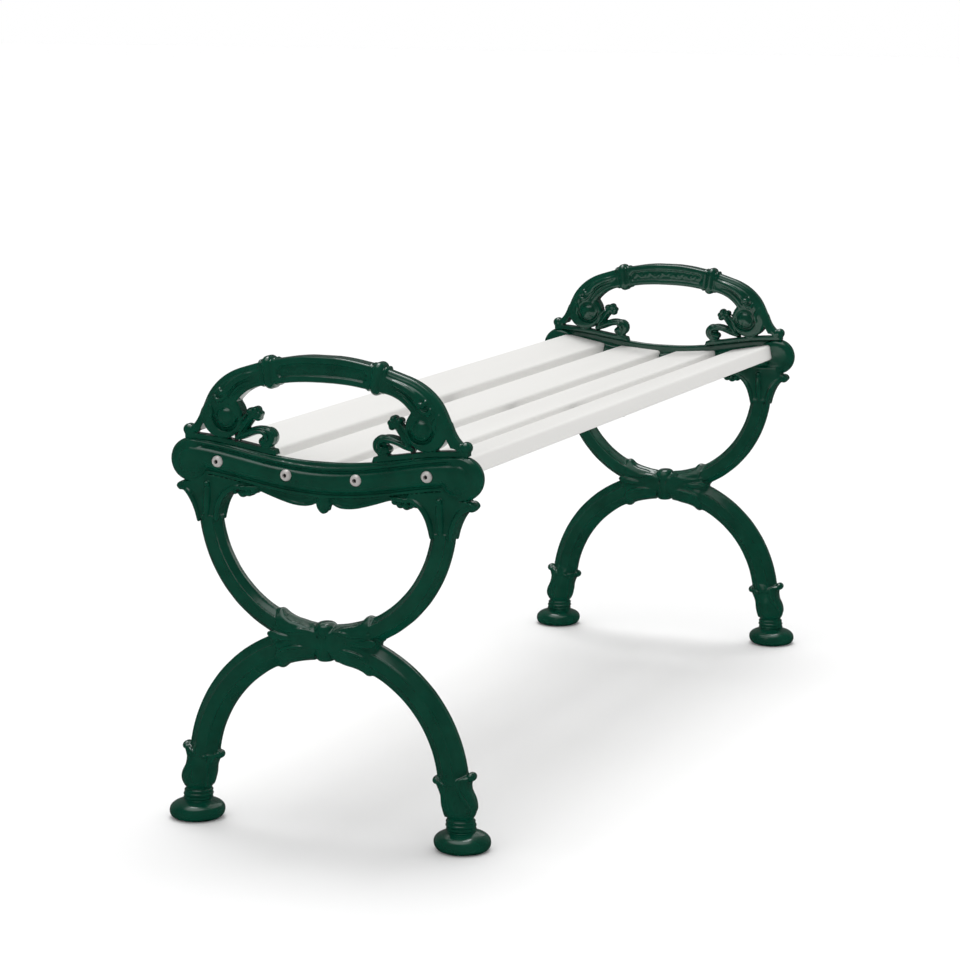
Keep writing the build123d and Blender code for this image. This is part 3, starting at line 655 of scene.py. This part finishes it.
def volute(field):
    """Scroll at the foot of the shoulder: a broad ring, open below, round a ball."""
    def disc(px, py, pz):
        return rounded(np.hypot(py - VOLUTE_Y, pz - VOLUTE_Z) - VOLUTE_R, px - 11.2, 4.5)

    def groove(px, py, pz):
        away = np.hypot(py - PEARL_Y, pz - PEARL_Z)
        width = 0.8 + 1.9 * ramp((PEARL_Z + 5 - pz) / 12)
        return np.hypot(away - PEARL_R - 2.4, (px - 13) * 0.4) - width
    field.add((disc, *around([(0, VOLUTE_Y, VOLUTE_Z)], VOLUTE_R)), 2)
    field.carve((groove, *around([(5, PEARL_Y, PEARL_Z), (16, PEARL_Y, PEARL_Z)], PEARL_R + 3)), 1)
    field.add(ball(5.5, PEARL_Y, PEARL_Z, PEARL_R, 12), 0.5)
    # crescent where the shoulder's leaf laps over the ring
    field.add(strand((10, 149.5, 514, 1.0), (12.2, 145, 507.5, 2.3), (12.8, 143.4, 501, 2.3),
                     (11.6, 145, 494, 1.2)), 0.8)
    field.carve(strand((14.4, 151.5, 508, 1.0), (13.6, 149.4, 501, 2.1), (13.6, 150.6, 493, 1.2)), 0.8)


def tail(field):
    """Outer band that runs from the shoulder down to a ball on the end of the base."""
    field.add(strand((0, 157.5, 502, 4), (0, 160.8, 493, 4.2), (0, 165.5, 484.4, 4.6),
                     (0, 172.5, 477, 5), steps=5), 2)
    field.add(strand((4, 158, 502, 3), (4.4, 161, 493, 3.6), (4.6, 165.8, 484.2, 4.2), (4, 173, 476.5, 4.6),
                     steps=5), 2)
    field.add(ball(2.5, 179, 477.2, 7.0), 0.6)


def base(field):
    """Strip that follows the rail's top edge."""
    strip = along_rail(-6.4, 0, 64, 183) + along_rail(5, 0, 183, 60)
    field.add(plate(strip, -7.2, 7.2, 2), 1.5)


def inner_scroll(field):
    """Band from the volute's foot that rolls up in a curl, with a hooked line on its face."""
    roll = [(CURL_Y + CURL_R * cos(radians(a)), CURL_Z + CURL_R * sin(radians(a)))
            for a in range(75, 331, 30)]
    for x, thinner in ((0, 0), (5, 0.8)):
        field.add(strand((x, 113, 472, 4 - thinner), (x, 104, 475.5, 5 - thinner),
                         (x, 92, 480.4, 5.2 - thinner),
                         (x, 83, 482, 5.4 - thinner), *[(x, y, z, 5.6 - thinner) for y, z in roll],
                         steps=3), 1.5)
    field.add(plate([(69, 455), (82, 455), (81, 466), (70, 466)], -7, 7, 2.5), 2)
    field.add(ball(3, CURL_Y, CURL_Z, 6, 5), 1)
    field.add(strand((9.4, 109, 474, 1.4), (10.8, 100, 477.6, 2.1), (11.6, 90, 480.6, 2.4),
                     (11.8, 81, 481.4, 2.3),
                     (11.6, 74, 478.4, 2.1), (11, 72.4, 472.6, 1.9)), 0.6)
    field.add(ball(8.6, 76, 470.4, 3.8), 0.4)


def bud(field):
    """Three-lobed bud on a ridged stem between the volute and the curl."""
    field.add(strand((0, 108, 480, 5.4), (0, 102, 489, 5.6), (0, 94, 499, 5), steps=4), 2)
    field.add(strand((5, 108, 480, 4.6), (5, 102, 489, 4.8), (4.5, 94, 499, 4.4), steps=4), 2)
    for y, z, radius in ((89.2, 505.4, 4.8), (96.6, 503.6, 4.6), (84.9, 501, 3.9), (86.8, 496.6, 4.2),
                         (92, 500, 5.2)):
        field.add(ball(2, y, z, radius, radius + 2.2), 1.2)
    field.add(strand((9.4, 110, 476, 1.2), (10, 103.5, 485, 1.8), (9.2, 96.5, 494.5, 1.4)), 0.8)
    field.add(strand((8.4, 112, 485, 1.2), (9.4, 107, 492.5, 1.8), (8.4, 100, 500.5, 1.4)), 0.8)
    field.carve(strand((12, 107, 481, 0.8), (12, 101.5, 490, 1.6), (11.5, 96, 498, 0.8)), 0.8)


def acanthus(field):
    """Leaf that grows down the shoulder from the collar and curls over at its tips."""
    field.add(strand((9.6, 84, 551, 1.4), (12, 98, 547, 2.8), (12.4, 112, 540, 3.0), (11.8, 124, 529, 2.6),
                     (10.6, 132, 517, 1.4), flat=1.3), 1.5)
    field.add(strand((10.8, 113, 537, 1.2), (12.8, 122, 528, 2.2), (13.4, 129.5, 525, 2.8),
                     (12.4, 133, 529, 2.2)), 1)
    field.add(strand((10.6, 119, 528, 1.2), (12.6, 128, 518, 2.2), (13.2, 136, 516, 2.8),
                     (12.2, 139, 520.5, 2.0)), 1)
    field.add(strand((10, 90, 541, 0.8), (11.6, 103, 536, 1.7), (11.8, 113, 528, 1.8),
                     (11, 121, 518, 1.0)), 1)


def armrest():
    """The whole armrest casting."""
    field = Field((0, 0, 446), (20, 190, 580), ARM_STEP)
    hoop(field)
    acanthus(field)
    tail(field)
    volute(field)
    base(field)
    inner_scroll(field)
    bud(field)
    collar(field)
    vine(field)
    under = plate([(-1, 430), (200, 430), *along_rail(0, 0, 190, -1)], -30, 30, 0.2)
    field.carve(under)
    field.ripple()
    field.mirror(0)
    field.mirror(1)
    return field.surface("armrest")


# ---- materials ----------------------------------------------------------------------------
def join(tree, socket, value):
    """Link a node's output to a socket, or set the socket to a plain value."""
    if isinstance(value, bpy.types.NodeSocket):
        tree.links.new(value, socket)
    else:
        socket.default_value = value


class Nodes:
    """A material's node tree, with short ways to add and join its nodes."""

    def __init__(self, name):
        self.material = bpy.data.materials.new(name)
        self.material.use_nodes = True
        self.tree = self.material.node_tree
        self.shader = self.tree.nodes["Principled BSDF"]
        self.place = self.add("ShaderNodeTexCoord").outputs["Object"]

    def add(self, kind, settings=None, **inputs):
        node = self.tree.nodes.new(kind)
        for key, value in (settings or {}).items():
            setattr(node, key, value)
        for key, value in inputs.items():
            self.put(node.inputs[key.replace("_", " ")], value)
        return node

    def put(self, socket, value):
        join(self.tree, socket, value)

    def noise(self, scale, detail=4.0, roughness=0.55, stretch=None):
        place = self.place
        if stretch:
            place = self.add("ShaderNodeMapping", Vector=place, Scale=stretch).outputs["Vector"]
        node = self.add("ShaderNodeTexNoise", Vector=place, Scale=scale, Detail=detail, Roughness=roughness)
        return node.outputs["Fac"]

    def spread(self, value, low, high, to_low, to_high):
        node = self.add("ShaderNodeMapRange", Value=value)
        for key, number in (("From Min", low), ("From Max", high), ("To Min", to_low), ("To Max", to_high)):
            node.inputs[key].default_value = number
        return node.outputs["Result"]

    def tint(self, factor, a, b):
        """A mix of a and b, each of them a colour or a node's output."""
        node = self.add("ShaderNodeMix", {"data_type": "RGBA"})
        self.put(node.inputs[0], factor)
        for socket, colour in ((node.inputs[6], a), (node.inputs[7], b)):
            self.put(socket, colour if isinstance(colour, bpy.types.NodeSocket) else (*colour, 1))
        return node.outputs[2]

    def bump(self, height, distance, strength=1.0, over=None):
        node = self.add("ShaderNodeBump", Height=height, Distance=distance, Strength=strength)
        if over is not None:
            self.put(node.inputs["Normal"], over)
        return node.outputs["Normal"]

    def finish(self, **inputs):
        for key, value in inputs.items():
            self.put(self.shader.inputs[key.replace("_", " ")], value)
        return self.material


def green_paint():
    """Gloss enamel over a sand-cast surface."""
    n = Nodes("green_enamel")
    skin = n.bump(n.noise(60, 2, 0.5), 0.0006, 0.4)
    skin = n.bump(n.noise(260, 2, 0.5), 0.00006, 0.5, skin)
    colour = n.tint(n.spread(n.noise(38, 5), 0.35, 0.65, 0, 1), (0.0003, 0.044, 0.025),
                    (0.0004, 0.056, 0.032))
    rough = n.spread(n.noise(45, 2), 0.3, 0.7, 0.20, 0.26)
    return n.finish(Base_Color=colour, Roughness=rough, Normal=skin, Coat_Weight=0.6, Coat_Roughness=0.14)


def white_slat():
    """Satin white paint, with the wood's grain just showing through."""
    n = Nodes("white_painted_wood")
    grain = n.noise(34, 6, 0.6, (0.05, 1, 1))
    fine = n.noise(400, 3, 0.5, (0.06, 1, 1))
    skin = n.bump(grain, 0.0004, 0.5)
    skin = n.bump(fine, 0.00008, 0.5, skin)
    colour = n.tint(n.spread(n.noise(9, 4, 0.5, (0.15, 1, 1)), 0.3, 0.7, 0, 1), (0.775, 0.767, 0.745),
                    (0.805, 0.799, 0.778))
    rough = n.spread(grain, 0.3, 0.7, 0.5, 0.62)
    return n.finish(Base_Color=colour, Roughness=rough, Normal=skin, Specular_IOR_Level=0.25)


def metal(name, dark, light, low, high, spangle):
    """Bare or plated metal, with fine scratches and slow changes of tone."""
    n = Nodes(name)
    tone = n.spread(n.noise(spangle, 5), 0.35, 0.65, 0, 1)
    scratches = n.noise(900, 4, 0.6, (1, 0.2, 1))
    rough = n.spread(scratches, 0.3, 0.7, low, high)
    skin = n.bump(scratches, 0.00003, 0.5)
    return n.finish(Base_Color=n.tint(tone, dark, light), Roughness=rough, Normal=skin, Metallic=1.0)


def screw_steel():
    """Stainless steel, with painted shade down in the sockets of the slat screws."""
    n = Nodes("stainless_steel")
    _, across, up = n.add("ShaderNodeSeparateXYZ", Vector=n.place).outputs
    sideways = n.add("ShaderNodeMath", {"operation": "ABSOLUTE"}, Value=across).outputs[0]
    there = n.add("ShaderNodeCombineXYZ", Y=sideways, Z=up).outputs[0]
    nearest = n.add("ShaderNodeMath", {"operation": "MINIMUM"})
    for socket, (y, z) in zip(nearest.inputs, map(screw_axis, SLATS)):
        away = n.add("ShaderNodeVectorMath", {"operation": "DISTANCE"}, Vector=there)
        away.inputs[1].default_value = (0, y * MM, z * MM)
        n.put(socket, away.outputs["Value"])
    tone = n.spread(n.noise(60, 5), 0.35, 0.65, 0, 1)
    blur = 0.0002
    bright = n.tint(tone, (0.66, 0.63, 0.61), (0.76, 0.73, 0.71))
    # painted shade mask: 0 inside a disc round each slat screw's axis, 1 on the rest of the head
    beyond_painted_shade = n.spread(nearest.outputs[0], SOCKET_SHADE_R * MM - blur, SOCKET_SHADE_R * MM + blur, 0, 1)
    rough = n.spread(n.noise(900, 4, 0.6, (1, 0.2, 1)), 0.3, 0.7, 0.3, 0.42)
    # the near-black colour is painted shade in the sockets; elsewhere the steel keeps its own tone
    return n.finish(Base_Color=n.tint(beyond_painted_shade, (0.02, 0.02, 0.02), bright), Roughness=rough, Metallic=0.35)


def rubber():
    """Black pad rubber."""
    n = Nodes("pad_rubber")
    skin = n.bump(n.noise(700, 4), 0.0001, 0.6)
    tone = n.tint(n.noise(90, 4), (0.012, 0.012, 0.012), (0.022, 0.022, 0.021))
    return n.finish(Base_Color=tone, Roughness=n.spread(n.noise(200, 3), 0.3, 0.7, 0.7, 0.85), Normal=skin)


def paint(node, material):
    """Give a CAD node its material."""
    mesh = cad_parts[node].data
    mesh.materials.clear()
    mesh.materials.append(material)


# ---- the bench ----------------------------------------------------------------------------
def place_casting(mesh, part, material):
    """Put a casting at the right end and its mirror image at the left end."""
    for side, scale in (("right", 1), ("left", -1)):
        copy = mesh.copy()
        copy.transform(Matrix.Translation((END_X, 0, 0)))
        if scale < 0:
            copy.transform(Matrix.Scale(-1, 4, (1, 0, 0)))
            copy.flip_normals()
        copy.materials.clear()
        copy.materials.append(material)
        piece = bpy.data.objects.new(f"{side}_{part}_casting", copy)
        bpy.context.scene.collection.objects.link(piece)
        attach(piece, "root")
        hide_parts(f"{side}_{part}")


green = green_paint()
place_casting(end_frame(), "end_frame", green)
place_casting(armrest(), "armrest", green)

white = white_slat()
stainless = screw_steel()
zinc = metal("zinc_steel", (0.42, 0.43, 0.44), (0.58, 0.58, 0.57), 0.35, 0.5, 140)
galvanised = metal("galvanised_steel", (0.40, 0.41, 0.42), (0.60, 0.61, 0.61), 0.38, 0.6, 45)
pad = rubber()
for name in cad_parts:
    if name.endswith("_slat"):
        paint(name, white)
    elif name.endswith("slat_screws"):
        paint(name, stainless)
    elif name.endswith(("nuts", "bolts")) or name == "tie_bar_screws":
        paint(name, zinc)
    elif name == "seat_tie_bar":
        paint(name, galvanised)
    elif name.endswith("foot_pad"):
        paint(name, pad)


# ---- camera, floor and light --------------------------------------------------------------
LENS, SENSOR = 113.52, 36.0
EYE = Vector((-3.75167, -1.52645, 1.02549))
AZIMUTH, ELEVATION, ROLL = radians(-67.116), radians(9.690), radians(0.206)

AMBIENT = 0.86               # light from all round, as matt surfaces see it
DIM_STUDIO = 0.015           # what gloss mirrors instead, away from the glows
GLOWS = (                    # their direction, dot products where one starts and is full, and strength
    ((0.90, 0.42, 0.10), 0.10, 0.90, 0.085),       # the backdrop behind the bench
    ((-0.15, 0.05, 1.0), 0.84, 0.96, 1.5),         # the ceiling
)
KEY_WAY = (0.30, 0.13, 0.95)                 # towards the softbox
KEY_ANGLE, KEY_STRENGTH = 30.0, 1.15         # its width, in degrees, and its strength


def make_camera():
    """A camera above the seat, well off the left end and towards the front."""
    data = bpy.data.cameras.new("camera")
    data.lens = LENS
    data.sensor_width = SENSOR
    camera = bpy.data.objects.new("camera", data)
    bpy.context.scene.collection.objects.link(camera)
    back = Vector((sin(AZIMUTH) * cos(ELEVATION), -cos(AZIMUTH) * cos(ELEVATION), sin(ELEVATION)))
    level = back.to_track_quat("Z", "Y").to_matrix()
    turn = Matrix.Rotation(ROLL, 3, "Z")
    camera.matrix_world = Matrix.Translation(EYE) @ (level @ turn).to_4x4()
    bpy.context.scene.camera = camera


def make_floor():
    """Pale floor, which gloss mirrors as a dark one."""
    bpy.ops.mesh.primitive_plane_add(size=60, location=(0, 0, 0))
    floor = bpy.context.object
    floor.name = "floor"
    n = Nodes("pale_floor")
    tone = n.tint(n.noise(3, 3), (0.95, 0.95, 0.95), (0.97, 0.97, 0.97))
    mirrored = n.add("ShaderNodeLightPath").outputs["Is Glossy Ray"]
    tone = n.tint(mirrored, tone, (0.01, 0.01, 0.01))
    floor.data.materials.append(n.finish(Base_Color=tone, Roughness=0.6))


def make_world():
    """Even light from all round. Gloss mirrors a dim studio with two glows, and the camera sees white."""
    world = bpy.data.worlds.new("studio")
    world.use_nodes = True
    world.cycles.sampling_method = "NONE"
    tree = world.node_tree
    bpy.context.scene.world = world

    def node(kind, **settings):
        made = tree.nodes.new(kind)
        for key, value in settings.items():
            setattr(made, key, value)
        return made

    def put(socket, value):
        join(tree, socket, value)

    def chosen(ray, otherwise, when):
        """One strength for a kind of ray, and another for all the rest."""
        mix = node("ShaderNodeMix", data_type="FLOAT")
        put(mix.inputs[0], rays.outputs[ray])
        put(mix.inputs[2], otherwise)
        put(mix.inputs[3], when)
        return mix.outputs[0]

    rays = node("ShaderNodeLightPath")
    way = node("ShaderNodeTexCoord").outputs["Generated"]
    mirrored = DIM_STUDIO
    for towards, start, full, strength in GLOWS:
        facing = node("ShaderNodeVectorMath", operation="DOT_PRODUCT")
        put(facing.inputs[0], way)
        put(facing.inputs[1], Vector(towards).normalized())
        glow = node("ShaderNodeMapRange", interpolation_type="SMOOTHSTEP")
        put(glow.inputs["Value"], facing.outputs["Value"])
        for key, number in (("From Min", start), ("From Max", full), ("To Max", strength)):
            put(glow.inputs[key], number)
        both = node("ShaderNodeMath", operation="ADD")
        put(both.inputs[0], mirrored)
        put(both.inputs[1], glow.outputs["Result"])
        mirrored = both.outputs[0]
    background = tree.nodes["Background"]
    put(background.inputs["Color"], (1, 1, 1, 1))
    unseen = chosen("Is Glossy Ray", AMBIENT, mirrored)
    put(background.inputs["Strength"], chosen("Is Camera Ray", unseen, 1.0))


def make_key():
    """The softbox overhead."""
    data = bpy.data.lights.new("softbox", "SUN")
    data.angle = radians(KEY_ANGLE)
    data.energy = KEY_STRENGTH
    lamp = bpy.data.objects.new("softbox", data)
    lamp.matrix_world = Vector(KEY_WAY).to_track_quat("Z", "Y").to_matrix().to_4x4()
    bpy.context.scene.collection.objects.link(lamp)


make_camera()
make_floor()
make_world()
make_key()
bpy.context.scene.view_settings.view_transform = "Standard"
